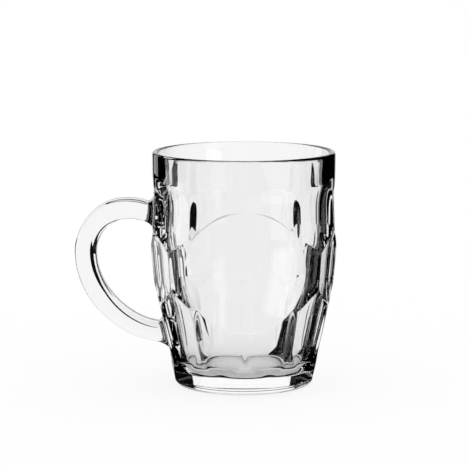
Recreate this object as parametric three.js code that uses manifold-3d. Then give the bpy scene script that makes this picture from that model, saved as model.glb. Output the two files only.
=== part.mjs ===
// Glass beer mug: a pressed bowl with a dimpled wall and a bar handle fused to two bosses.
// Millimetres, +Z up. The origin is the middle of the flat underside. The medallion faces -Y and
// the handle stands out along -X.

import * as THREE from 'three';
import { mergeVertices } from 'three/addons/utils/BufferGeometryUtils.js';
import Module from 'manifold-3d';

const wasm = await Module();
wasm.setup();

// Heights of the bowl
const MUG_HEIGHT = 130;
const HEEL_RADIUS = 3.5; // rounding between the underside and the wall
const FOOT_BAND = 11.5; // plain ring under the lowest dimples
const COLLAR_DEPTH = 16; // plain band between the lip and the highest dimples
const UPPER_ROW = 32; // from the plain band down to where the upper and middle rows meet
const MIDDLE_ROW = 30; // from there down to where the middle and lower rows meet
const LOWER_HEIGHT = 30; // a station halfway up the lower row
const FLOOR_THICKNESS = 9;

// Outside radii of the bowl, at the stations where the rows meet
const FOOT_RADIUS = 38.5;
const LOWER_RADIUS = 45.3;
const WAIST_RADIUS = 49.3; // where the middle row meets the lower row
const BELLY_RADIUS = 51.7; // where the upper row meets the middle row
const COLLAR_RADIUS = 50.8;
const LIP_ROUNDING = 1.6; // half the thickness of the lip
const LIP_TURN = 166; // degrees that the lip turns, from the wall over the top into the bore

// Inside radii of the bowl, at the same stations
const BORE_FOOT_RADIUS = 33.6;
const BORE_WAIST_RADIUS = 40.5;
const BORE_BELLY_RADIUS = 43;
const BORE_COLLAR_RADIUS = 44.7;
const FLOOR_CORNER_RADIUS = 10;
const BORE_FOOT_LEAN = 13; // degrees that the bore leans outwards above the floor corner
const BORE_BELLY_LEAN = 0.6; // the same at the belly
const BORE_COLLAR_LEAN = 8.2; // the same at the foot of the plain band

// Dimples and medallion
const COLUMNS = 10;
const LAND_WIDTH = 1; // glass left standing between two columns of dimples
const ROW_OVERLAP = 4; // how far the ends of a row reach past the line where two rows meet
const FOOT_ROUND = 14; // height of the round lower ends of the lower row
const UPPER_DEPTH = 2.2;
const UPPER_SIDE_DEPTH = 1; // of the two upper dimples that face the sides
const MIDDLE_DEPTH = 2.6;
const LOWER_DEPTH = 3;
const LOWER_SIDE_DEPTH = 2.1;
const SQUARE_END = 4; // power of the height that closes an end of a dimple
const ROUND_END = 2;
const MEDALLION_RADIUS = 33;
const MEDALLION_HEIGHT = 69; // middle of the medallion above the table

// Handle and its bosses
const UPPER_ROOT_DEPTH = 33; // upper root below the lip
const LOWER_ROOT_HEIGHT = 29.5; // lower root above the table
const GRIP_DROP = 22.3; // widest point of the grip below the upper root
const FINGER_GAP = 29.7; // between the belly and the grip
const GRIP_THICKNESS = 12.2;
const ROOT_THICKNESS = 10.8;
const HANDLE_WIDTH = 15.5;
const HANDLE_EDGE_RADIUS = 4;
const UPPER_ROOT_SLOPE = 16.7; // degrees above the level, going outwards
const LOWER_ROOT_SLOPE = 8.5;
const UPPER_ROOT_PULL = 22.4; // how far the bar keeps its direction at each end of its two bends
const UPPER_GRIP_PULL = 12.2;
const LOWER_GRIP_PULL = 22.7;
const LOWER_ROOT_PULL = 20.1;
const BOSS_PROJECTION = 3.3; // seat of the handle in front of the wall
const BOSS_FLARE = 3.5; // growth of a boss on every side, from its seat to the wall
const BOSS_COVER = 1.5; // glass between the buried end of a boss and the bore

// Fineness of the faceted surfaces
const TURN_STEPS = 50;
const WALL_STEPS = 2; // between two stations of the wall
const ROUND_STEPS = 4;
const DIMPLE_POINTS = 16;
const DIMPLE_SHARES = [0.2, 0.5, 0.8, 1, 1.15]; // rings of a cutter, as shares of the outline
const CUTTER_REACH = 1.1; // last ring of a cutter, outside the wall, as a share of the radius
const BEND_STEPS = 16;
const CORNER_POINTS = 4;
const FLARE_STEPS = 3;
const ANGLE_TOLERANCE = 1e-6; // slack when asking whether a dimple faces a side

// Stations worked out from the heights
const archTop = MUG_HEIGHT - COLLAR_DEPTH;
const bellyHeight = archTop - UPPER_ROW;
const waistHeight = bellyHeight - MIDDLE_ROW;
const lipHeight = MUG_HEIGHT - LIP_ROUNDING;
const lipMiddle = COLLAR_RADIUS - LIP_ROUNDING;
const lipTurn = THREE.MathUtils.degToRad(LIP_TURN);
const lipEndHeight = lipHeight + LIP_ROUNDING * Math.sin(lipTurn);
const lipEndRadius = lipMiddle + LIP_ROUNDING * Math.cos(lipTurn);
const footLean = THREE.MathUtils.degToRad(BORE_FOOT_LEAN);
const bellyLean = THREE.MathUtils.degToRad(BORE_BELLY_LEAN);
const collarLean = THREE.MathUtils.degToRad(BORE_COLLAR_LEAN);
const cornerHeight = FLOOR_THICKNESS + FLOOR_CORNER_RADIUS * (1 - Math.sin(footLean));

// Profiles of the bowl: heights and radii, and the slope where a knot sets one
const wallKnots = [
  [HEEL_RADIUS, FOOT_RADIUS],
  [LOWER_HEIGHT, LOWER_RADIUS],
  [waistHeight, WAIST_RADIUS],
  [bellyHeight, BELLY_RADIUS],
  [archTop, COLLAR_RADIUS],
  [lipHeight, COLLAR_RADIUS, 0],
];
const boreKnots = [
  [cornerHeight, BORE_FOOT_RADIUS, Math.tan(footLean)],
  [waistHeight, BORE_WAIST_RADIUS],
  [bellyHeight, BORE_BELLY_RADIUS, Math.tan(bellyLean)],
  [archTop, BORE_COLLAR_RADIUS, Math.tan(collarLean)],
  [lipEndHeight, lipEndRadius, -Math.tan(lipTurn)],
];

// Slope of a profile at one of its knots: its own, or the one across the neighbouring knots.
function knotSlope(knots, place) {
  const ownSlope = knots[place][2];
  if (ownSlope !== undefined) return ownSlope;
  const [lowHeight, lowRadius] = knots[Math.max(place - 1, 0)];
  const [highHeight, highRadius] = knots[Math.min(place + 1, knots.length - 1)];
  return (highRadius - lowRadius) / (highHeight - lowHeight);
}

// Radius of a profile at any height: a smooth cubic between neighbouring knots.
function radiusAt(knots, height) {
  let place = 0;
  while (place < knots.length - 2 && height > knots[place + 1][0]) place += 1;
  const [startHeight, startRadius] = knots[place];
  const [endHeight, endRadius] = knots[place + 1];
  const span = endHeight - startHeight;
  const t = THREE.MathUtils.clamp((height - startHeight) / span, 0, 1);
  const rise = t * t * (3 - 2 * t);
  const leave = t * (1 - t) * (1 - t) * span * knotSlope(knots, place);
  const arrive = t * t * (t - 1) * span * knotSlope(knots, place + 1);
  return startRadius + (endRadius - startRadius) * rise + leave + arrive;
}

// Points of a profile from its lowest to its highest knot.
function profilePoints(knots) {
  const points = [];
  for (let place = 0; place < knots.length - 1; place += 1) {
    for (let step = 0; step < WALL_STEPS; step += 1) {
      const height = THREE.MathUtils.lerp(knots[place][0], knots[place + 1][0], step / WALL_STEPS);
      points.push(new THREE.Vector2(radiusAt(knots, height), height));
    }
  }
  const [topHeight, topRadius] = knots.at(-1);
  points.push(new THREE.Vector2(topRadius, topHeight));
  return points;
}

// Points of an arc in a profile, without its first and last point.
function arcPoints(centreRadius, centreHeight, rounding, startDegrees, endDegrees) {
  const points = [];
  for (let step = 1; step < ROUND_STEPS; step += 1) {
    const degrees = THREE.MathUtils.lerp(startDegrees, endDegrees, step / ROUND_STEPS);
    const angle = THREE.MathUtils.degToRad(degrees);
    const radius = centreRadius + rounding * Math.cos(angle);
    points.push(new THREE.Vector2(radius, centreHeight + rounding * Math.sin(angle)));
  }
  return points;
}

// Place on the bowl: an angle from the front, positive towards +X, a radius and a height.
function around(angle, radius, height) {
  return new THREE.Vector3(radius * Math.sin(angle), -radius * Math.cos(angle), height);
}

// Closed skin over rings of equally many points, with a fan over each end. Seen from the end of the
// loft, each ring runs anticlockwise.
function loft(rings) {
  const count = rings[0].length;
  const middleOf = (ring) => {
    const middle = new THREE.Vector3();
    ring.forEach((point) => middle.add(point));
    return middle.divideScalar(count);
  };
  const points = [...rings.flat(), middleOf(rings[0]), middleOf(rings.at(-1))];
  const endMiddle = points.length - 1;
  const startMiddle = endMiddle - 1;
  const endRing = (rings.length - 1) * count;
  const triangles = [];
  for (let point = 0; point < count; point += 1) {
    const next = (point + 1) % count;
    for (let ring = 0; ring < endRing; ring += count) {
      const above = ring + count;
      triangles.push(ring + point, ring + next, above + next);
      triangles.push(ring + point, above + next, above + point);
    }
    triangles.push(startMiddle, next, point);
    triangles.push(endMiddle, endRing + point, endRing + next);
  }
  const geometry = new THREE.BufferGeometry().setFromPoints(points);
  geometry.setIndex(triangles);
  return geometry;
}

// Solid for joining and cutting, from a closed geometry.
function solidOf(geometry) {
  const bare = geometry.clone();
  bare.deleteAttribute('normal');
  bare.deleteAttribute('uv');
  const merged = mergeVertices(bare);
  const corners = merged.index.array;
  const triangles = [];
  for (let first = 0; first < corners.length; first += 3) {
    const [a, b, c] = corners.slice(first, first + 3);
    if (a !== b && b !== c && c !== a) triangles.push(a, b, c);
  }
  const mesh = new wasm.Mesh({
    numProp: 3,
    vertProperties: new Float32Array(merged.attributes.position.array),
    triVerts: new Uint32Array(triangles),
  });
  return new wasm.Manifold(mesh);
}

// Geometry of a joined or cut solid.
function geometryOf(solid) {
  const mesh = solid.getMesh();
  const geometry = new THREE.BufferGeometry();
  geometry.setAttribute('position', new THREE.BufferAttribute(mesh.vertProperties, 3));
  geometry.setIndex(new THREE.BufferAttribute(mesh.triVerts, 1));
  geometry.computeVertexNormals();
  return geometry;
}

// Round bowl before its dimples are cut: underside, heel, wall, lip, bore, floor corner and floor.
function roundBowl() {
  const cornerMiddle = BORE_FOOT_RADIUS - FLOOR_CORNER_RADIUS * Math.cos(footLean);
  const cornerLift = FLOOR_THICKNESS + FLOOR_CORNER_RADIUS;
  const profile = [
    new THREE.Vector2(0, 0),
    new THREE.Vector2(FOOT_RADIUS - HEEL_RADIUS, 0),
    ...arcPoints(FOOT_RADIUS - HEEL_RADIUS, HEEL_RADIUS, HEEL_RADIUS, -90, 0),
    ...profilePoints(wallKnots),
    ...arcPoints(lipMiddle, lipHeight, LIP_ROUNDING, 0, 90),
    new THREE.Vector2(lipMiddle, MUG_HEIGHT),
    ...arcPoints(lipMiddle, lipHeight, LIP_ROUNDING, 90, LIP_TURN),
    ...profilePoints(boreKnots).reverse(),
    ...arcPoints(cornerMiddle, cornerLift, FLOOR_CORNER_RADIUS, -BORE_FOOT_LEAN, -90),
    new THREE.Vector2(cornerMiddle, FLOOR_THICKNESS),
    new THREE.Vector2(0, FLOOR_THICKNESS),
  ];
  const geometry = new THREE.LatheGeometry(profile, TURN_STEPS);
  geometry.rotateX(Math.PI / 2);
  return solidOf(geometry);
}

// Cutter of one dimple: a stack of rings that shrink as they sink into the wall. At a share m of the
// outline the dimple is depth * (1 - m * m) deep, so across its middle it is a shallow parabola.
function dimpleCutter(row, middleAngle) {
  const facesSide = Math.abs(Math.cos(middleAngle)) < ANGLE_TOLERANCE;
  const deepest = facesSide ? row.sideDepth : row.depth;
  const rings = DIMPLE_SHARES.map((share) => {
    const depth = deepest * (1 - share * share);
    const ring = [];
    for (let point = 0; point < DIMPLE_POINTS; point += 1) {
      const turn = (2 * Math.PI * point) / DIMPLE_POINTS;
      const across = share * Math.cos(turn);
      const up = share * Math.sin(turn);
      const height = up > 0
        ? row.middle + (row.high - row.middle) * up ** (2 / row.highPower)
        : row.middle - (row.middle - row.low) * (-up) ** (2 / row.lowPower);
      const wall = radiusAt(wallKnots, height);
      const halfAngle = Math.PI / COLUMNS - LAND_WIDTH / 2 / wall;
      ring.push(around(middleAngle + across * halfAngle, wall - depth, height));
    }
    return ring;
  });
  const clearOfWall = new THREE.Vector3(CUTTER_REACH, CUTTER_REACH, 1);
  rings.push(rings.at(-1).map((point) => point.clone().multiply(clearOfWall)));
  return solidOf(loft(rings));
}

// The three rows of dimples: the middle row stands half a step aside, and its ends reach in between
// the ends of its neighbours.
function dimpleRows() {
  const upper = {
    low: bellyHeight - ROW_OVERLAP,
    middle: (bellyHeight - ROW_OVERLAP + archTop) / 2,
    high: archTop,
    lowPower: SQUARE_END,
    highPower: SQUARE_END,
    shift: 0.5,
    depth: UPPER_DEPTH,
    sideDepth: UPPER_SIDE_DEPTH,
  };
  const middle = {
    low: waistHeight - ROW_OVERLAP,
    middle: (waistHeight + bellyHeight) / 2,
    high: bellyHeight + ROW_OVERLAP,
    lowPower: SQUARE_END,
    highPower: SQUARE_END,
    shift: 0,
    depth: MIDDLE_DEPTH,
    sideDepth: MIDDLE_DEPTH,
  };
  const lower = {
    low: FOOT_BAND,
    middle: FOOT_BAND + FOOT_ROUND,
    high: waistHeight + ROW_OVERLAP,
    lowPower: ROUND_END,
    highPower: SQUARE_END,
    shift: 0.5,
    depth: LOWER_DEPTH,
    sideDepth: LOWER_SIDE_DEPTH,
  };
  return [upper, middle, lower];
}

// All dimples, with the disc of the medallion left standing on the front.
function dimpleCutters() {
  const columnAngle = (2 * Math.PI) / COLUMNS;
  const cutters = dimpleRows().flatMap((row) => (
    Array.from({ length: COLUMNS }, (_, column) => dimpleCutter(row, (column + row.shift) * columnAngle))
  ));
  const reach = CUTTER_REACH * BELLY_RADIUS + LOWER_DEPTH;
  const disc = new THREE.CylinderGeometry(MEDALLION_RADIUS, MEDALLION_RADIUS, reach, TURN_STEPS);
  disc.translate(0, -reach / 2, MEDALLION_HEIGHT);
  return cutters.reduce((all, cutter) => all.add(cutter)).subtract(solidOf(disc));
}

// Section of the handle bar: a rounded rectangle, thickness in the plane of the loop, width across it.
function barSection(thickness) {
  const points = [];
  for (let corner = 0; corner < 4; corner += 1) {
    const sideways = corner === 0 || corner === 3 ? 1 : -1;
    const outwards = corner < 2 ? 1 : -1;
    for (let point = 0; point < CORNER_POINTS; point += 1) {
      const turn = (Math.PI / 2) * (corner + point / (CORNER_POINTS - 1));
      const across = sideways * (HANDLE_WIDTH / 2 - HANDLE_EDGE_RADIUS);
      const out = outwards * (thickness / 2 - HANDLE_EDGE_RADIUS);
      const rounding = new THREE.Vector2(Math.cos(turn), Math.sin(turn)).multiplyScalar(HANDLE_EDGE_RADIUS);
      points.push(rounding.add(new THREE.Vector2(across, out)));
    }
  }
  return points;
}

// Where the handle meets its bosses, and the direction of the bar there, going outwards.
function handleRoot(height, slopeDegrees) {
  const slope = THREE.MathUtils.degToRad(slopeDegrees);
  return {
    seat: new THREE.Vector2(-radiusAt(wallKnots, height) - BOSS_PROJECTION, height),
    outwards: new THREE.Vector2(-Math.cos(slope), Math.sin(slope)),
  };
}

const upperRoot = handleRoot(MUG_HEIGHT - UPPER_ROOT_DEPTH, UPPER_ROOT_SLOPE);
const lowerRoot = handleRoot(LOWER_ROOT_HEIGHT, LOWER_ROOT_SLOPE);

// Ring of the bar's section round a point of the centre line, which lies in the plane y = 0.
function barRing(middle, direction, thickness) {
  const outer = new THREE.Vector2(-direction.y, direction.x);
  return barSection(thickness).map((point) => new THREE.Vector3(
    middle.x + outer.x * point.y,
    point.x,
    middle.y + outer.y * point.y,
  ));
}

// Ring slid along the bar until it lies in the upright plane of a seat.
function seatRing(ring, direction, seatX) {
  return ring.map((point) => {
    const slide = (seatX - point.x) / direction.x;
    return new THREE.Vector3(seatX, point.y, point.z + slide * direction.y);
  });
}

// Rings of the bar from the upper seat, out round the grip and back to the lower seat.
function barRings() {
  const gripX = -(BELLY_RADIUS + FINGER_GAP + GRIP_THICKNESS / 2);
  const grip = new THREE.Vector2(gripX, upperRoot.seat.y - GRIP_DROP);
  const pulled = (point, direction, pull) => point.clone().addScaledVector(direction, pull);
  const down = new THREE.Vector2(0, -1);
  const bends = [
    new THREE.CubicBezierCurve(
      upperRoot.seat,
      pulled(upperRoot.seat, upperRoot.outwards, UPPER_ROOT_PULL),
      pulled(grip, down, -UPPER_GRIP_PULL),
      grip,
    ),
    new THREE.CubicBezierCurve(
      grip,
      pulled(grip, down, LOWER_GRIP_PULL),
      pulled(lowerRoot.seat, lowerRoot.outwards, LOWER_ROOT_PULL),
      lowerRoot.seat,
    ),
  ];
  const rings = [];
  for (let step = 0; step <= 2 * BEND_STEPS; step += 1) {
    const bend = bends[step < BEND_STEPS ? 0 : 1];
    const share = step < BEND_STEPS ? step / BEND_STEPS : step / BEND_STEPS - 1;
    const swell = Math.sin((Math.PI * step) / (2 * BEND_STEPS));
    const thickness = THREE.MathUtils.lerp(ROOT_THICKNESS, GRIP_THICKNESS, swell);
    rings.push(barRing(bend.getPoint(share), bend.getTangent(share), thickness));
  }
  rings[0] = seatRing(rings[0], upperRoot.outwards, upperRoot.seat.x);
  rings.push(seatRing(rings.pop(), lowerRoot.outwards, lowerRoot.seat.x));
  return rings;
}

// Boss under one end of the bar: it starts on the seat, flares towards the wall and ends buried in it.
function boss(seatOutline, root) {
  const grown = (point, growth, depth) => {
    const side = new THREE.Vector2(point.y, point.z - root.seat.y).normalize();
    const drop = (depth * root.outwards.y) / root.outwards.x;
    return new THREE.Vector3(
      root.seat.x + depth,
      point.y + growth * side.x,
      point.z + growth * side.y + drop,
    );
  };
  const rings = [];
  for (let step = 0; step <= FLARE_STEPS; step += 1) {
    const share = step / FLARE_STEPS;
    const growth = BOSS_FLARE * (1 - Math.sqrt(1 - share * share));
    rings.push(seatOutline.map((point) => grown(point, growth, share * BOSS_PROJECTION)));
  }
  rings.push(rings.at(-1).map((point) => {
    const buried = radiusAt(boreKnots, point.z) + BOSS_COVER;
    return new THREE.Vector3(-Math.sqrt(buried * buried - point.y * point.y), point.y, point.z);
  }));
  return solidOf(loft(rings));
}

// The two pieces of glass
const handleRings = barRings();
const upperBoss = boss([...handleRings[0]].reverse(), upperRoot);
const lowerBoss = boss(handleRings.at(-1), lowerRoot);
const bowlSolid = roundBowl().subtract(dimpleCutters()).add(upperBoss).add(lowerBoss);

const glass = new THREE.MeshStandardMaterial({
  color: 0xe6eeeb,
  roughness: 0.04,
  metalness: 0,
  transparent: true,
  opacity: 0.35,
});

const bowl = new THREE.Mesh(geometryOf(bowlSolid), glass);
bowl.name = 'bowl';

const handle = new THREE.Mesh(loft(handleRings), glass.clone());
handle.name = 'handle';

const mug = new THREE.Group();
mug.name = 'beer_mug';
mug.add(bowl, handle);

export default mug;
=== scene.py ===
# %% [markdown]
# # A pressed-glass beer mug
# The mug is one body of clear glass: a bowl pressed in a mould, with a bar handle fused to it while
# both were hot. Clear glass has almost no colour of its own. What the eye reads is its shape, through
# the way every surface bends the light behind it, so this lesson spends its effort on the shape and
# on what stands around it.
# The frame gives the solids in metres: the bowl stands on the origin, its medallion faces -Y and the
# handle stands out along -X. The solids are kept as well.

# %% Load the frame
import math

import bpy
import numpy as np
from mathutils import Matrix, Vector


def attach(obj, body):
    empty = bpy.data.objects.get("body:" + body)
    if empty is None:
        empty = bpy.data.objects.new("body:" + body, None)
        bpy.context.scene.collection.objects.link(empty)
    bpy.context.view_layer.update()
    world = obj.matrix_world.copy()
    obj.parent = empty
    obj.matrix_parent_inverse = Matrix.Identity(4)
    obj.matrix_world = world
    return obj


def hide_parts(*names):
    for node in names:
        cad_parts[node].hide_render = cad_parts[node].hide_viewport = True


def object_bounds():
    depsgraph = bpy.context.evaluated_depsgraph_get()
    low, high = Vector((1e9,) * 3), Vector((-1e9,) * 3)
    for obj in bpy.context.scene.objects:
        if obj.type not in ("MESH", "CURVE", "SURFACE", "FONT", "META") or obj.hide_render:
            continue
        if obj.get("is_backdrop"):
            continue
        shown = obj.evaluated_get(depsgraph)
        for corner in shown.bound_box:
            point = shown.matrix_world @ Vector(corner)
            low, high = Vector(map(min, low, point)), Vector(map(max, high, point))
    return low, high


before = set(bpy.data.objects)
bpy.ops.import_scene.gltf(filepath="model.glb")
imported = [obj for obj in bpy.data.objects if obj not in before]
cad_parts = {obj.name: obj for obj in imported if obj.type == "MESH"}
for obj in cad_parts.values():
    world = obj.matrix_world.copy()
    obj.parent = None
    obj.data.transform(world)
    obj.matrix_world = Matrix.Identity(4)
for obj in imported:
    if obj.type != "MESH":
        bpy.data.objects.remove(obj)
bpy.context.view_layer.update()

# %% [markdown]
# ## The sizes of the bowl
# On the real mug these are the sizes of the mould. They could stand as bare numbers in the steps that
# use them. Named once, in millimetres and with the values of the solids, they keep the mesh and the
# solids alike. They become metres when the mesh is made.

# %% Heights and radii of the bowl
MM = 0.001
MUG_HEIGHT = 130.0
HEEL_RADIUS = 3.5
FOOT_BAND = 11.5
COLLAR_DEPTH = 16.0
UPPER_ROW = 32.0
MIDDLE_ROW = 30.0
FOOT_RADIUS = 38.5
LOWER_HEIGHT = 30.0
LOWER_RADIUS = 45.3
WAIST_RADIUS = 49.3
BELLY_RADIUS = 51.7
COLLAR_RADIUS = 50.8
LIP_ROUNDING = 1.6
LIP_TURN = math.radians(166)
FLOOR_THICKNESS = 9.0
FLOOR_CORNER_RADIUS = 10.0
BORE_FOOT_RADIUS = 33.6
BORE_FOOT_LEAN = math.radians(13)
BORE_WAIST_RADIUS = 40.5
BORE_BELLY_RADIUS = 43.0
BORE_BELLY_LEAN = math.radians(0.6)
BORE_COLLAR_RADIUS = 44.7
BORE_COLLAR_LEAN = math.radians(8.2)

ARCH_TOP = MUG_HEIGHT - COLLAR_DEPTH
BELLY_HEIGHT = ARCH_TOP - UPPER_ROW
WAIST_HEIGHT = BELLY_HEIGHT - MIDDLE_ROW
LIP_HEIGHT = MUG_HEIGHT - LIP_ROUNDING
LIP_MIDDLE = COLLAR_RADIUS - LIP_ROUNDING
LIP_END_RADIUS = LIP_MIDDLE + LIP_ROUNDING * math.cos(LIP_TURN)
LIP_END_HEIGHT = LIP_HEIGHT + LIP_ROUNDING * math.sin(LIP_TURN)
CORNER_HEIGHT = FLOOR_THICKNESS + FLOOR_CORNER_RADIUS * (1 - math.sin(BORE_FOOT_LEAN))
print("the bowl is", MUG_HEIGHT, "mm high and", 2 * BELLY_RADIUS, "mm across at the belly")

# %% [markdown]
# ## The lines of the wall and the bore
# The wall swells from the foot to the belly and draws in a little to the collar, while the bore widens
# all the way up to the lip. Either line could be a curve object, drawn by hand. Here it is a list of
# knots instead: a height, a radius, and a slope where the knot has to set one. Between knots the
# radius is a smooth cubic, so it can be asked for at any height, and the glass has no kinks that
# would show as lines.

# %% Knots of the wall and the bore
WALL = [
    (HEEL_RADIUS, FOOT_RADIUS, None),
    (LOWER_HEIGHT, LOWER_RADIUS, None),
    (WAIST_HEIGHT, WAIST_RADIUS, None),
    (BELLY_HEIGHT, BELLY_RADIUS, None),
    (ARCH_TOP, COLLAR_RADIUS, None),
    (LIP_HEIGHT, COLLAR_RADIUS, 0.0),
]
BORE = [
    (CORNER_HEIGHT, BORE_FOOT_RADIUS, math.tan(BORE_FOOT_LEAN)),
    (WAIST_HEIGHT, BORE_WAIST_RADIUS, None),
    (BELLY_HEIGHT, BORE_BELLY_RADIUS, math.tan(BORE_BELLY_LEAN)),
    (ARCH_TOP, BORE_COLLAR_RADIUS, math.tan(BORE_COLLAR_LEAN)),
    (LIP_END_HEIGHT, LIP_END_RADIUS, -math.tan(LIP_TURN)),
]
print("the wall has", len(WALL), "knots and the bore has", len(BORE))

# %% Radius between the knots


def knot_slope(knots, place):
    """Slope at a knot: its own, or the one across its neighbours."""
    if knots[place][2] is not None:
        return knots[place][2]
    low = knots[max(place - 1, 0)]
    high = knots[min(place + 1, len(knots) - 1)]
    return (high[1] - low[1]) / (high[0] - low[0])


def radius_at(knots, height):
    """Radius of a profile at each height."""
    height = np.asarray(height, float)
    heights = np.array([knot[0] for knot in knots])
    radii = np.array([knot[1] for knot in knots])
    slopes = np.array([knot_slope(knots, place) for place in range(len(knots))])
    place = np.clip(np.searchsorted(heights, height, side="right") - 1, 0, len(knots) - 2)
    span = heights[place + 1] - heights[place]
    t = np.clip((height - heights[place]) / span, 0, 1)
    rise = t * t * (3 - 2 * t)
    leave = t * (1 - t) ** 2 * span * slopes[place]
    arrive = t * t * (t - 1) * span * slopes[place + 1]
    return radii[place] + (radii[place + 1] - radii[place]) * rise + leave + arrive


half_way = MUG_HEIGHT / 2
plain_glass = float(radius_at(WALL, half_way) - radius_at(BORE, half_way))
print("half way up, before the hollows, the glass is", round(plain_glass, 1), "mm thick")

# %% What the bore holds
BORE_SAMPLES = 400
CUBIC_MM_PER_ML = 1000
bore_heights = np.linspace(CORNER_HEIGHT, LIP_END_HEIGHT, BORE_SAMPLES)
bore_area = (math.pi * radius_at(BORE, bore_heights) ** 2).mean()
bore_volume = bore_area * (LIP_END_HEIGHT - CORNER_HEIGHT) / CUBIC_MM_PER_ML
print("the bore above its floor corner holds about", round(bore_volume), "ml")

# %% [markdown]
# ## The dimples and the medallion
# The mould pressed three rows of ten hollows into the outside, the middle row set half a step aside so
# that the ends of the rows interlock, and left a smooth disc on the front. Cutting thirty hollows with
# booleans would leave ragged edges, which glass shows at once. Here the wall is a height field instead:
# a formula says how deep the mould went at each angle and height, and the deepest hollow wins. Across,
# a hollow is a shallow parabola, so it reads as a nearly flat pane with a crisp ridge on either side.
# Upwards it is a fourth power, so the pane stays even and then closes quickly. The lowest row ends in
# a rounder curve above the foot. The hollows at the two sides are shallower in the upper and lower
# rows, which keeps the outline of the mug as even as it is in the photo.

# %% Rows of hollows
COLUMNS = 10
COLUMN_ANGLE = 2 * math.pi / COLUMNS
LAND_WIDTH = 1.0
ROW_OVERLAP = 4.0
UPPER_DEPTH = 2.2
UPPER_SIDE_DEPTH = 1.0
MIDDLE_DEPTH = 2.6
LOWER_DEPTH = 3.0
LOWER_SIDE_DEPTH = 2.1
SQUARE_END = 4
ROUND_END = 2
FOOT_ROUND = 14.0
UPPER_LOW = BELLY_HEIGHT - ROW_OVERLAP
ROWS = [
    {"low": UPPER_LOW, "middle": (UPPER_LOW + ARCH_TOP) / 2, "high": ARCH_TOP, "low_end": SQUARE_END,
     "shift": 0.5, "depth": UPPER_DEPTH, "side": UPPER_SIDE_DEPTH},
    {"low": WAIST_HEIGHT - ROW_OVERLAP, "middle": (WAIST_HEIGHT + BELLY_HEIGHT) / 2,
     "high": BELLY_HEIGHT + ROW_OVERLAP, "low_end": SQUARE_END,
     "shift": 0.0, "depth": MIDDLE_DEPTH, "side": MIDDLE_DEPTH},
    {"low": FOOT_BAND, "middle": FOOT_BAND + FOOT_ROUND, "high": WAIST_HEIGHT + ROW_OVERLAP,
     "low_end": ROUND_END, "shift": 0.5, "depth": LOWER_DEPTH, "side": LOWER_SIDE_DEPTH},
]
print("each hollow takes", round(math.degrees(COLUMN_ANGLE)), "degrees, up to", LOWER_DEPTH, "mm deep")

# %% [markdown]
# The disc is a limit on the depth that rises steeply outside its rim, so its edge shows as a fine
# arc. A soft maximum rounds every ridge, as hot glass does when it is fire-polished, and rounds the
# ends near the foot most. A Bevel modifier could round the ridges too, but only where they are edges
# of the mesh, and here they run across it.

# %% Depth of the hollows
EDGE_SOFTNESS = 0.35
FOOT_SOFTNESS = 0.7
SIDE_SINE = 0.99  # a column whose middle has a larger sine than this faces a side
MEDALLION_RADIUS = 33.0
MEDALLION_HEIGHT = 69.0
MEDALLION_FLANK = 3.5
MEDALLION_SOFTNESS = 0.2
PAST_EVERY_DEPTH = 2 * LOWER_DEPTH


def soft_floor(value, softness):
    """A maximum with zero whose corner is rounded."""
    return (value + np.sqrt(value * value + softness * softness)) / 2


def hollow_depth(angle, height):
    """How deep the mould pressed into the wall at each angle from the front and each height."""
    wall_radius = radius_at(WALL, height)
    half_column = COLUMN_ANGLE / 2 - LAND_WIDTH / 2 / wall_radius
    depth = np.full(np.broadcast(angle, height).shape, -LOWER_DEPTH)
    for row in ROWS:
        place = angle / COLUMN_ANGLE - row["shift"]
        column = np.round(place)
        across = (place - column) * COLUMN_ANGLE / half_column
        at_side = np.abs(np.sin((column + row["shift"]) * COLUMN_ANGLE)) > SIDE_SINE
        deepest = np.where(at_side, row["side"], row["depth"])
        above = np.maximum(height - row["middle"], 0) / (row["high"] - row["middle"])
        below = np.maximum(row["middle"] - height, 0) / (row["middle"] - row["low"])
        end = above ** SQUARE_END + below ** row["low_end"]
        depth = np.maximum(depth, deepest * (1 - across ** 2 - end))
    from_disc = np.hypot(wall_radius * np.sin(angle), height - MEDALLION_HEIGHT) - MEDALLION_RADIUS
    flank = np.where(np.cos(angle) > 0, MEDALLION_FLANK * from_disc, PAST_EVERY_DEPTH)
    depth = depth - soft_floor(depth - flank, MEDALLION_SOFTNESS)
    near_foot = np.clip((FOOT_BAND + FOOT_ROUND - height) / FOOT_ROUND, 0, 1)
    return soft_floor(depth, EDGE_SOFTNESS + (FOOT_SOFTNESS - EDGE_SOFTNESS) * near_foot)


print("the medallion is", 2 * MEDALLION_RADIUS, "mm across, its middle", MEDALLION_HEIGHT, "mm up")

# %% [markdown]
# ## The skin of the bowl
# Seen in section, the glass is one closed line: from the middle of the underside out to the heel, up
# the wall, over the lip, down the bore and in across the floor. Turning that line round the axis makes
# the bowl. A Screw modifier could turn it, but a grid of points lets each point on the wall be moved
# in by the depth of the hollow there. The steps are well under a millimetre where the hollows are,
# because smooth shading alone can't bend light in the right place.

# %% Section of the bowl
WALL_STEP = 0.42
BORE_STEP = 1.5
ROUND_STEPS = 16


def arc(centre, rounding, start, end, steps):
    """Points of an arc in the section, both ends included."""
    turn = np.linspace(start, end, steps + 1)
    return np.stack([centre[0] + rounding * np.cos(turn), centre[1] + rounding * np.sin(turn)], 1)


def profile(knots, step):
    """Points of a profile from its first height to its last."""
    count = round((knots[-1][0] - knots[0][0]) / step)
    heights = np.linspace(knots[0][0], knots[-1][0], count + 1)
    return np.stack([radius_at(knots, heights), heights], 1)


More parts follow.
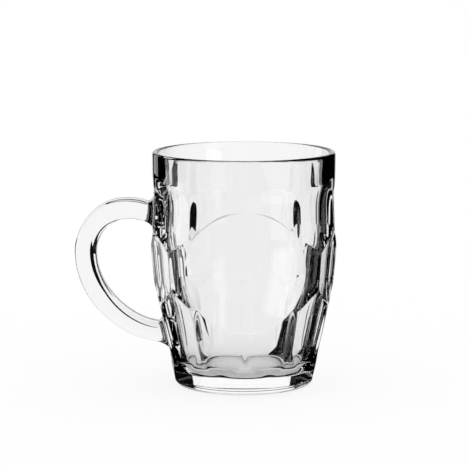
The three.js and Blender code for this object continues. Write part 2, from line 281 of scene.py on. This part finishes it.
heel_middle = FOOT_RADIUS - HEEL_RADIUS
corner_middle = BORE_FOOT_RADIUS - FLOOR_CORNER_RADIUS * math.cos(BORE_FOOT_LEAN)
corner_centre = (corner_middle, FLOOR_THICKNESS + FLOOR_CORNER_RADIUS)
disc_shares = np.array([0.25, 0.5, 0.75, 0.97])
underside = np.stack([disc_shares * heel_middle, np.zeros(len(disc_shares))], 1)
heel = arc((heel_middle, HEEL_RADIUS), HEEL_RADIUS, -math.pi / 2, 0, ROUND_STEPS)[:-1]
wall = profile(WALL, WALL_STEP)
lip = arc((LIP_MIDDLE, LIP_HEIGHT), LIP_ROUNDING, 0, LIP_TURN, 2 * ROUND_STEPS)[1:-1]
bore = profile(BORE, BORE_STEP)[::-1]
corner = arc(corner_centre, FLOOR_CORNER_RADIUS, -BORE_FOOT_LEAN, -math.pi / 2, ROUND_STEPS)[1:]
floor = np.stack([disc_shares * corner_middle, np.full(len(disc_shares), FLOOR_THICKNESS)], 1)[::-1]
section = np.concatenate([underside, heel, wall, lip, bore, corner, floor])
first_wall_row = len(underside) + len(heel)
wall_rows = slice(first_wall_row, first_wall_row + len(wall))
print("the section has", len(section), "points, of which", len(wall), "are on the wall")

# %% Skin of the bowl as a grid of points
TURN_STEPS = 800
angles = np.arange(TURN_STEPS) * 2 * math.pi / TURN_STEPS
grid_radius = np.repeat(section[:, :1], TURN_STEPS, axis=1)
grid_radius[wall_rows] -= hollow_depth(angles[None, :], wall[:, 1:])
grid = np.stack(
    [
        grid_radius * np.sin(angles)[None, :],
        -grid_radius * np.cos(angles)[None, :],
        np.repeat(section[:, 1:], TURN_STEPS, axis=1),
    ],
    axis=2,
)
beside_bore = (wall[:, 1] > CORNER_HEIGHT) & (wall[:, 1] < LIP_END_HEIGHT)
glass_left = (grid_radius[wall_rows] - radius_at(BORE, wall[:, 1:]))[beside_bore]
thinnest, thickest = glass_left.min().round(1), glass_left.max().round(1)
print("beside the bore the glass is", thinnest, "to", thickest, "mm thick")

# %% [markdown]
# ## The handle
# The handle is a bar bent in one plane, a little thicker at the grip, with a rounded oblong section
# that is nearly flat on the sides facing the viewer. It could be a curve with a bevel, but this bar
# has to meet the bowl point by point. So its centre line is worked out as two cubic curves, one from
# the upper root to the grip and one from the grip to the lower root, and rings are laid round it.

# %% Roots, grip and pulls of the bar
UPPER_ROOT_DEPTH = 33.0
LOWER_ROOT_HEIGHT = 29.5
GRIP_DROP = 22.3
FINGER_GAP = 29.7
GRIP_THICKNESS = 12.2
ROOT_PROJECTION = 3.3
UPPER_ROOT_SLOPE = math.radians(16.7)
LOWER_ROOT_SLOPE = math.radians(8.5)
UPPER_ROOT_PULL = 22.4
UPPER_GRIP_PULL = 12.2
LOWER_GRIP_PULL = 22.7
LOWER_ROOT_PULL = 20.1
UPPER_ROOT_HEIGHT = MUG_HEIGHT - UPPER_ROOT_DEPTH


def root_place(height):
    """Where the bar leaves the flare of its root, in the plane of the handle."""
    return np.array([-float(radius_at(WALL, height)) - ROOT_PROJECTION, height])


def outwards(slope):
    """Direction of the bar at a root, going away from the bowl."""
    return np.array([-math.cos(slope), math.sin(slope)])


print("the bar leaves the bowl", UPPER_ROOT_HEIGHT, "mm up and comes back", LOWER_ROOT_HEIGHT, "mm up")

# %% Centre line of the bar
BAR_STEPS = 70


def bend(start, start_pull, end_pull, end):
    """Points and directions along one cubic curve, from its two ends and the pulls on them."""
    t = np.linspace(0, 1, BAR_STEPS + 1)[:, None]
    a, b, c, d = start, start + start_pull, end + end_pull, end
    points = a * (1 - t) ** 3 + 3 * b * t * (1 - t) ** 2 + 3 * c * t ** 2 * (1 - t) + d * t ** 3
    slopes = (b - a) * (1 - t) ** 2 + 2 * (c - b) * t * (1 - t) + (d - c) * t ** 2
    return points, slopes / np.linalg.norm(slopes, axis=1, keepdims=True)


upper_place = root_place(UPPER_ROOT_HEIGHT)
lower_place = root_place(LOWER_ROOT_HEIGHT)
grip = np.array([-(BELLY_RADIUS + FINGER_GAP + GRIP_THICKNESS / 2), UPPER_ROOT_HEIGHT - GRIP_DROP])
up = np.array([0.0, 1.0])
upper_pull = UPPER_ROOT_PULL * outwards(UPPER_ROOT_SLOPE)
lower_pull = LOWER_ROOT_PULL * outwards(LOWER_ROOT_SLOPE)
upper_bend = bend(upper_place, upper_pull, UPPER_GRIP_PULL * up, grip)
lower_bend = bend(grip, -LOWER_GRIP_PULL * up, lower_pull, lower_place)
bar_line = np.concatenate([upper_bend[0], lower_bend[0][1:]])
bar_way = np.concatenate([upper_bend[1], lower_bend[1][1:]])
bar_length = np.linalg.norm(np.diff(bar_line, axis=0), axis=1).sum()
print("the bar is", round(float(bar_length)), "mm long")

# %% Section of the bar
ROOT_THICKNESS = 10.8
HANDLE_WIDTH = 15.5
SECTION_SQUARENESS = 4.5
last_step = len(bar_line) - 1


def section_point(turn, thickness):
    """Points of the bar's section at each turn: across the bar, and out of the loop."""
    across = np.abs(np.cos(turn) / (HANDLE_WIDTH / 2)) ** SECTION_SQUARENESS
    out = np.abs(np.sin(turn) / (thickness / 2)) ** SECTION_SQUARENESS
    reach = (across + out) ** (-1 / SECTION_SQUARENESS)
    return reach * np.cos(turn), reach * np.sin(turn)


def bar_ring(step, turn):
    """Ring of points round one place of the bar."""
    swell = math.sin(math.pi * step / last_step)
    across, out = section_point(turn, ROOT_THICKNESS + (GRIP_THICKNESS - ROOT_THICKNESS) * swell)
    outer = np.array([bar_way[step][1], -bar_way[step][0]])
    middle = bar_line[step]
    return np.stack([middle[0] + outer[0] * out, across, middle[1] + outer[1] * out], 1)


print("the bar is", HANDLE_WIDTH, "mm wide and", ROOT_THICKNESS, "to", GRIP_THICKNESS, "mm thick")

# %% [markdown]
# ## Fusing the handle to the bowl
# At each root the glass of bar and bowl runs together in a smooth flare, with no seam inside. Two
# closed pieces that touch would show that seam as a mirror, and a boolean or a remesh would join them
# with uneven faces. So a window is opened in the bowl's grid, and rings of points lead from the rim of
# the window out to the bar. Each ring point travels on a curve that leaves the wall along the wall and
# arrives along the bar, so the flare is tangent to both.

# %% Windows in the grid
WINDOW_HALF_WIDTH = 12.0
WINDOW_HALF_HEIGHT = 9.75
HANDLE_TURN = 0.75  # share of a turn from the front to the handle, by way of +X
handle_column = round(HANDLE_TURN * TURN_STEPS)
window_columns = round(WINDOW_HALF_WIDTH / (BELLY_RADIUS * 2 * math.pi / TURN_STEPS))
window_rows = round(WINDOW_HALF_HEIGHT / WALL_STEP)


def window(height):
    """Rim of a window at the handle, as rows and columns of the grid, anticlockwise from outside."""
    row = first_wall_row + int(np.argmin(abs(wall[:, 1] - height)))
    low, high = row - window_rows, row + window_rows
    left, right = handle_column - window_columns, handle_column + window_columns
    rim = [(low, column) for column in range(left, right)]
    rim += [(place, right) for place in range(low, high)]
    rim += [(high, column) for column in range(right, left, -1)]
    rim += [(place, left) for place in range(high, low, -1)]
    return {"rows": (low, high), "columns": (left, right), "rim": np.array(rim)}


upper_window = window(UPPER_ROOT_HEIGHT)
lower_window = window(LOWER_ROOT_HEIGHT)
roots = [(upper_window, UPPER_ROOT_HEIGHT, 1), (lower_window, LOWER_ROOT_HEIGHT, -1)]
rims = []
turns = []
for opening, height, side in roots:
    rim = grid[opening["rim"][:, 0], opening["rim"][:, 1]]
    rims.append(rim)
    turns.append(np.arctan2(side * (rim[:, 2] - height), rim[:, 1]))
print("each window has a rim of", len(rims[0]), "points")

# %% Flares at the roots
FLARE_STEPS = 14
FLARE_ROUNDNESS = 1.66
SHORTEST = 1e-9  # keeps the division safe where a normal has no length
grid_across = np.roll(grid, -1, axis=1) - np.roll(grid, 1, axis=1)
grid_up = np.roll(grid, -1, axis=0) - np.roll(grid, 1, axis=0)
grid_normal = np.cross(grid_across, grid_up)
grid_normal /= np.maximum(np.linalg.norm(grid_normal, axis=2, keepdims=True), SHORTEST)


def flare(rim, rim_places, ring, root_height, way):
    """Rings between the rim of a window and the first ring of the bar, both left out."""
    normal = grid_normal[rim_places[:, 0], rim_places[:, 1]]
    inward = np.stack([np.zeros(len(rim)), -rim[:, 1], root_height - rim[:, 2]], 1)
    inward -= (inward * normal).sum(1, keepdims=True) * normal
    inward /= np.linalg.norm(inward, axis=1, keepdims=True)
    along = np.array([way[0], 0, way[1]])
    reach = ((ring - rim) * along).sum(1, keepdims=True)
    narrowing = np.linalg.norm(ring - rim - reach * along, axis=1, keepdims=True)
    rings = []
    for share in np.linspace(0, 1, FLARE_STEPS + 1)[1:-1]:
        rise = share * share * (3 - 2 * share)
        leave = share * (1 - share) ** 2 * FLARE_ROUNDNESS * narrowing * inward
        arrive = share * share * (share - 1) * FLARE_ROUNDNESS * reach * along
        rings.append(rim + (ring - rim) * rise + leave + arrive)
    return rings


print("each flare has", FLARE_STEPS, "steps")

# %% Rings from one window round the bar to the other
lower_order = np.arange(len(rims[1]))[::-1]
first_match = int(np.argmin(abs(turns[1][lower_order] - turns[0][0])))
lower_order = np.roll(lower_order, -first_match)
lower_rim_places = lower_window["rim"][lower_order]
upper_turn = np.unwrap(turns[0])
lower_turn = np.unwrap(turns[1][lower_order])
bar_rings = []
for step in range(last_step + 1):
    share = step / last_step
    bar_rings.append(bar_ring(step, upper_turn * (1 - share) + lower_turn * share))
upper_flare = flare(rims[0], upper_window["rim"], bar_rings[0], UPPER_ROOT_HEIGHT, bar_way[0])
lower_flare = flare(
    rims[1][lower_order], lower_rim_places, bar_rings[-1], LOWER_ROOT_HEIGHT, -bar_way[-1])
rings = np.array(upper_flare + bar_rings + lower_flare[::-1])
print("the handle has", rings.shape[0], "rings of", rings.shape[1], "points")

# %% [markdown]
# ## One mesh of glass
# The points inside the windows are dropped, the rest are numbered, and the grid, the two middles and
# the handle's rings are joined into one closed mesh, with every face turned outwards. Separate meshes
# could be merged by distance, but numbers that are shared from the start make each join exact.

# %% Numbers of the points
rows, columns = grid.shape[:2]
kept = np.ones((rows, columns), bool)
open_cells = np.zeros((rows, columns), bool)
for opening in (upper_window, lower_window):
    (low, high), (left, right) = opening["rows"], opening["columns"]
    kept[low + 1:high, left + 1:right] = False
    open_cells[low:high, left:right] = True
number = np.full((rows, columns), -1)
number[kept] = np.arange(kept.sum())
points = [grid[kept], np.array([[0, 0, 0], [0, 0, FLOOR_THICKNESS]]), rings.reshape(-1, 3)]
under_middle = int(kept.sum())
floor_middle = under_middle + 1
ring_number = floor_middle + 1 + np.arange(rings.shape[0] * rings.shape[1]).reshape(rings.shape[:2])
upper_rim = number[tuple(upper_window["rim"].T)]
lower_rim = number[tuple(lower_rim_places.T)]
ring_number = np.concatenate([upper_rim[None], ring_number, lower_rim[None]])
print("the bowl keeps", under_middle, "points of its grid")

# %% Mesh of the mug
beside = np.roll(number, -1, axis=1)
quads = np.stack([number[:-1], beside[:-1], beside[1:], number[1:]], axis=2)[~open_cells[:-1]]
ring_beside = np.roll(ring_number, -1, axis=1)
ring_quads = np.stack([ring_number[:-1], ring_beside[:-1], ring_beside[1:], ring_number[1:]], axis=2)
under_fan = np.stack([np.full(columns, under_middle), beside[0], number[0]], axis=1)
floor_fan = np.stack([number[-1], beside[-1], np.full(columns, floor_middle)], axis=1)
faces = np.concatenate([quads, ring_quads.reshape(-1, 4)]).tolist()
faces += under_fan.tolist() + floor_fan.tolist()

mug_mesh = bpy.data.meshes.new("mug_glass")
mug_mesh.from_pydata(np.concatenate(points) * MM, [], faces)
mug_mesh.shade_smooth()
mug_mesh.update()
mug = bpy.data.objects.new("mug_glass", mug_mesh)
bpy.context.scene.collection.objects.link(mug)
print("the glass has", len(mug_mesh.vertices), "points and", len(mug_mesh.polygons), "faces")

# %% [markdown]
# ## Writing shaders as sums
# A look is a tree of nodes, and each sum in it could be laid out by hand, node by node. A wrapped
# socket lets shader maths be written as plain expressions instead: adding or multiplying two of them
# adds the Math node that does it. One method makes every node.

# %% A socket that can be used in sums


class Value:
    """An output socket that can be used in sums."""

    def __init__(self, board, socket):
        self.board = board
        self.socket = socket

    def _maths(self, operation, first, second):
        node = self.board.node("ShaderNodeMath", {"operation": operation}, {0: first, 1: second})
        return Value(self.board, node.outputs[0])

    def __add__(self, other):
        return self._maths("ADD", self, other)

    def __radd__(self, other):
        return self._maths("ADD", other, self)

    def __sub__(self, other):
        return self._maths("SUBTRACT", self, other)

    def __rsub__(self, other):
        return self._maths("SUBTRACT", other, self)

    def __mul__(self, other):
        return self._maths("MULTIPLY", self, other)

    def __rmul__(self, other):
        return self._maths("MULTIPLY", other, self)

    def larger(self, other):
        return self._maths("MAXIMUM", self, other)


print("sockets can be added, subtracted, multiplied and compared")

# %% A board of nodes


class Board:
    """The node tree of a material or of the world."""

    def __init__(self, owner):
        owner.use_nodes = True
        self.tree = owner.node_tree
        self.tree.nodes.clear()

    def node(self, kind, settings=None, sockets=None):
        """A node of any kind: its settings come first, then the values or links of its sockets."""
        made = self.tree.nodes.new(kind)
        for name, setting in (settings or {}).items():
            setattr(made, name, setting)
        for name, value in (sockets or {}).items():
            if isinstance(value, Value):
                self.tree.links.new(value.socket, made.inputs[name])
            else:
                made.inputs[name].default_value = value
        return made

    def value(self, node, name):
        """One output of a node, ready for sums."""
        return Value(self, node.outputs[name])


print("one method makes every node:", Board.node.__doc__)

# %% [markdown]
# ## Clear glass
# Soda-lime glass is colourless and bends light by an index of 1.52. It could be made with a Glass
# shader, but the Principled one, fully transmitting, keeps its settings in the exported model. Pressed
# glass is never quite even: the mould leaves a very low, wide ripple, and washing leaves a faint haze
# that comes and goes. Two noises give these, one to the bump and one to the roughness. Both stay very
# small, because a thick glass wall magnifies whatever is on it.

# %% Clear glass
WHITE = (1.0, 1.0, 1.0, 1.0)
GLASS_INDEX = 1.52
WAVE_SCALE = 45.0
WAVE_DETAIL = 1.0
WAVE_HEIGHT = 0.2 * MM
WAVE_STRENGTH = 0.25
HAZE_SCALE = 60.0
HAZE_DETAIL = 3.0
HAZE = 0.025
glass = bpy.data.materials.new("clear_glass")
board = Board(glass)
place = board.node("ShaderNodeTexCoord")
waves = board.node("ShaderNodeTexNoise", None, {
    "Vector": board.value(place, "Object"),
    "Scale": WAVE_SCALE,
    "Detail": WAVE_DETAIL,
})
ripple = board.node("ShaderNodeBump", None, {
    "Height": board.value(waves, "Fac"),
    "Strength": WAVE_STRENGTH,
    "Distance": WAVE_HEIGHT,
})
smears = board.node("ShaderNodeTexNoise", None, {
    "Vector": board.value(place, "Object"),
    "Scale": HAZE_SCALE,
    "Detail": HAZE_DETAIL,
})
clear_body = board.node("ShaderNodeBsdfPrincipled", None, {
    "Base Color": WHITE,
    "Roughness": board.value(smears, "Fac") * HAZE,
    "IOR": GLASS_INDEX,
    "Transmission Weight": 1.0,
    "Normal": board.value(ripple, "Normal"),
})
board.node("ShaderNodeOutputMaterial", None, {"Surface": board.value(clear_body, "BSDF")})
mug_mesh.materials.append(glass)
print("clear glass of index", GLASS_INDEX)

# %% [markdown]
# ## White floor
# The mug stands on white paper that runs back out of sight. A diffuse floor alone would come out grey
# away from the light. So part of what the camera sees of it glows white, straight or by way of the
# glass, and the rest is lit paper, which keeps the soft shadow under the foot. The floor lies a hair
# below the glass, because two faces in one plane would flicker.

# %% White floor
FLOOR_SIZE = 12.0
FLOOR_GAP = 0.4 * MM
FLOOR_GLOW = 0.85
GLOW_IN_GLASS = 0.4
PAPER_COLOUR = (0.85, 0.85, 0.85, 1.0)
bpy.ops.mesh.primitive_plane_add(size=FLOOR_SIZE, location=(0, 0, -FLOOR_GAP))
floor_plane = bpy.context.object
floor_plane.name = "floor"
paper = bpy.data.materials.new("white_paper")
board = Board(paper)
lit_paper = board.node("ShaderNodeBsdfDiffuse", None, {"Color": PAPER_COLOUR})
glow = board.node("ShaderNodeEmission", None, {"Color": WHITE, "Strength": 1.0})
ray = board.node("ShaderNodeLightPath")
bent = board.value(ray, "Is Glossy Ray").larger(board.value(ray, "Is Transmission Ray"))
floor_look = board.node("ShaderNodeMixShader", None, {
    0: board.value(ray, "Is Camera Ray") * FLOOR_GLOW + bent * GLOW_IN_GLASS,
    1: board.value(lit_paper, "BSDF"),
    2: board.value(glow, "Emission"),
})
board.node("ShaderNodeOutputMaterial", None, {"Surface": board.value(floor_look, "Shader")})
floor_plane.data.materials.append(paper)
floor_plane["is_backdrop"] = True
print("the floor lies", round(FLOOR_GAP / MM, 1), "mm below the glass")

# %% [markdown]
# ## Studio light
# Even light from all sides, as inside a light tent, gives clear glass no hard highlights, and lamps
# would show in it as spots. So the world itself is the light. What is seen of it, straight or through
# the glass, is plain white, and what it sends to the floor is a little stronger, for white paper.

# %% Studio light
STUDIO_LIGHT = 1.18


def seen_through(board):
    """One for what the camera sees, straight or by way of glass, and nought for light that lights."""
    ray = board.node("ShaderNodeLightPath")
    straight = board.value(ray, "Is Camera Ray")
    mirrored = board.value(ray, "Is Glossy Ray")
    return straight.larger(mirrored).larger(board.value(ray, "Is Transmission Ray"))


world = bpy.data.worlds.new("studio")
bpy.context.scene.world = world
board = Board(world)
seen = seen_through(board)
sky = board.node("ShaderNodeBackground", None, {
    "Color": WHITE,
    "Strength": seen + (1 - seen) * STUDIO_LIGHT,
})
board.node("ShaderNodeOutputWorld", None, {"Surface": board.value(sky, "Background")})
print("the studio lights the paper at", STUDIO_LIGHT)

# %% [markdown]
# ## Dark cards round the mug
# Clear glass on white paper is almost invisible. A photographer gives it dark edges by standing black
# cards just outside the view, so that the paper is seen only straight through the glass, and every
# surface that bends the light far aside shows black. Single planes would do that for one view. Here
# bands between arcs lie on the paper, stand up all round and close overhead, so that it holds from
# every side. They leave strips of paper open, one behind the mug for each side from which it is
# looked at, and bars shut each opening at the heights where the glass should turn dark. Straight
# behind the mug the opening in the upright card is a little wider than the paper on the floor, on one
# side only above a sill. In front of the foot a short patch of paper lies open, which draws the lower
# edge of the medallion as a fine bright line. Only reflected and refracted light meets the cards: they
# cast no shadow and don't darken the floor. All their sizes are in metres, and their angles are in
# degrees from straight behind the mug, towards +X.
# A strip has the angle of its middle, a field, which is the most that it opens to either side, and a
# half width, which rules farther out. Start and end are the radii between which it lies on the floor.
# Far is the radius of the bars that shut it, and shut has the heights between which they stand. Gains
# are the degrees by which the upright card opens farther on either side, above the sills.

# %% Strips of paper left open
PAPER_RING = 0.0385
CARD_RING = 0.254
CARD_HEIGHT = 0.5
PLAIN = {"field": 24, "far": CARD_RING, "end": CARD_RING, "gains": (0, 0), "sills": (0.0, 0.0)}
BEHIND = {**PLAIN, "angle": 0, "half_width": 0.104, "start": PAPER_RING,
          "gains": (6, 6), "sills": (0.05, 0.0), "shut": [(0.28, CARD_HEIGHT)]}
STRIPS = [
    BEHIND,
    {**PLAIN, "angle": 135, "half_width": 0.055, "start": 0.13, "far": 0.5,
     "shut": [(0.0, 0.08), (0.3, CARD_HEIGHT)]},
    {**PLAIN, "angle": 180, "field": 45, "half_width": 0.06, "start": PAPER_RING, "end": 0.06,
     "shut": []},
    {**PLAIN, "angle": 270, "half_width": 0.042, "start": 0.25, "shut": [(0.15, CARD_HEIGHT)]},
    {**PLAIN, "angle": 315, "half_width": 0.038, "start": PAPER_RING,
     "shut": [(0.04, 0.09), (0.22, CARD_HEIGHT)]},
    {**BEHIND, "angle": 360},
]
print("the cards leave", len(STRIPS) - 1, "strips of paper open")

# %% Where the cards lie and the openings are


def half_angle(strip, radius):
    """Half the angle that a strip takes up at a radius: its field, until its width is reached."""
    return min(strip["field"], math.degrees(math.asin(min(strip["half_width"] / radius, 1))))


def card_ends(left, right, radius, reached):
    """Angles between which a card lies at a radius; a strip takes room from its start to its end."""
    start = left["angle"] + half_angle(left, radius) * (left["start"] <= reached < left["end"])
    end = right["angle"] - half_angle(right, radius) * (right["start"] <= reached < right["end"])
    return start, max(start, end)


def opening_ends(strip, height):
    """Angles between which the upright card is open: the paper's, with the gain above a sill."""
    half = half_angle(strip, CARD_RING) * (strip["end"] >= CARD_RING)
    gains = zip(strip["gains"], strip["sills"])
    left_gain, right_gain = [gain * (height >= sill) for gain, sill in gains]
    return strip["angle"] - half - left_gain, strip["angle"] + half + right_gain


print("behind the mug the card is open between", opening_ends(BEHIND, CARD_HEIGHT), "degrees")

# %% Bands between arcs
ARC_STEPS = 24
card_points = []
card_faces = []


def ring_points(ends, radius, height):
    """Points of an arc round the mug; its ends in degrees from straight behind, towards +X."""
    turn = np.radians(np.linspace(*ends, ARC_STEPS + 1))
    return [(radius * math.sin(t), radius * math.cos(t), height) for t in turn]


def add_band(first, second):
    """Faces between two arcs."""
    start = len(card_points)
    card_points.extend(first + second)
    for near in range(start, start + ARC_STEPS):
        far = near + ARC_STEPS + 1
        card_faces.append((near, near + 1, far + 1, far))


print("each band has", ARC_STEPS, "faces")

# %% Cards and bars
CARD_LIFT = 0.0006
CEILING_RING = 0.001
FLOOR_STEPS = 6


def add_card(left, right):
    """A card between two strips: it lies on the floor, stands up and closes the top."""
    changes = {left["start"], left["end"], right["start"], right["end"]}
    reach = sorted(changes | set(np.linspace(PAPER_RING, CARD_RING, FLOOR_STEPS + 1)))
    for near, far in zip(reach[:-1], reach[1:]):
        near_ends = card_ends(left, right, near, near)
        far_ends = card_ends(left, right, far, near)
        add_band(ring_points(near_ends, near, CARD_LIFT), ring_points(far_ends, far, CARD_LIFT))
    levels = sorted({0.0, left["sills"][1], right["sills"][0], CARD_HEIGHT})
    for low, high in zip(levels[:-1], levels[1:]):
        ends = (opening_ends(left, low)[1], opening_ends(right, low)[0])
        add_band(ring_points(ends, CARD_RING, low), ring_points(ends, CARD_RING, high))
    add_band(ring_points(ends, CARD_RING, CARD_HEIGHT), ring_points(ends, CEILING_RING, CARD_HEIGHT))


def add_bars(strip):
    """Cards across a strip's opening, wider the farther they are, at the heights where it is shut."""
    spread = strip["far"] / CARD_RING
    for low, high in strip["shut"]:
        ends = [strip["angle"] + (end - strip["angle"]) * spread for end in opening_ends(strip, low)]
        add_band(ring_points(ends, strip["far"], low), ring_points(ends, strip["far"], high))


for left, right in zip(STRIPS[:-1], STRIPS[1:]):
    add_card(left, right)
    add_bars(left)
print("the dark cards have", len(card_faces), "faces")

# %% Dark cards
CARD_COLOUR = (0.004, 0.004, 0.004, 1.0)
card_mesh = bpy.data.meshes.new("dark_cards")
card_mesh.from_pydata(card_points, [], card_faces)
cards = bpy.data.objects.new("dark_cards", card_mesh)
bpy.context.scene.collection.objects.link(cards)
black = bpy.data.materials.new("black_card")
board = Board(black)
matt_black = board.node("ShaderNodeBsdfDiffuse", None, {"Color": CARD_COLOUR})
board.node("ShaderNodeOutputMaterial", None, {"Surface": board.value(matt_black, "BSDF")})
card_mesh.materials.append(black)
cards.visible_camera = False
cards.visible_diffuse = False
cards.visible_shadow = False
cards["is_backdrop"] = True
print("the dark cards are", CARD_HEIGHT, "m high and stand", CARD_RING, "m from the axis")

# %% [markdown]
# ## Camera
# The photo looks almost level at the mug, a little from above: the rim shows as a thin ellipse, and its
# height against its width gives the angle. A long lens from far off keeps the two sides of the bowl as
# even as they are there. The camera could be moved by hand until it fits. Worked out from an aim, a
# distance and two angles, it can be mended one number at a time.

# %% Camera
CAMERA_LENS = 195.0
CAMERA_AIM = (-6.0 * MM, 0.0, 84.2 * MM)
CAMERA_DISTANCE = 1.4
CAMERA_ELEVATION = math.radians(8.2)
CAMERA_AZIMUTH = math.radians(-0.8)
view = bpy.data.cameras.new("camera")
view.lens = CAMERA_LENS
camera = bpy.data.objects.new("camera", view)
bpy.context.scene.collection.objects.link(camera)
level = CAMERA_DISTANCE * math.cos(CAMERA_ELEVATION)
camera.location = (
    CAMERA_AIM[0] + level * math.sin(CAMERA_AZIMUTH),
    CAMERA_AIM[1] - level * math.cos(CAMERA_AZIMUTH),
    CAMERA_AIM[2] + CAMERA_DISTANCE * math.sin(CAMERA_ELEVATION),
)
camera.rotation_euler = (math.pi / 2 - CAMERA_ELEVATION, 0, CAMERA_AZIMUTH)
bpy.context.scene.camera = camera
bpy.context.scene.view_settings.view_transform = "Standard"
print("the camera looks down at", round(math.degrees(CAMERA_ELEVATION), 1), "degrees")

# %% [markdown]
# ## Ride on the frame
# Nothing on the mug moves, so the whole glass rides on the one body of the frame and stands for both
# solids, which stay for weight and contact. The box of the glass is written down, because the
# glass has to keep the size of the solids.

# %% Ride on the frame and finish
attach(mug, "root")
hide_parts("bowl", "handle")
low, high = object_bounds()
print("the glass reaches from", [round(v, 4) for v in low], "to", [round(v, 4) for v in high])
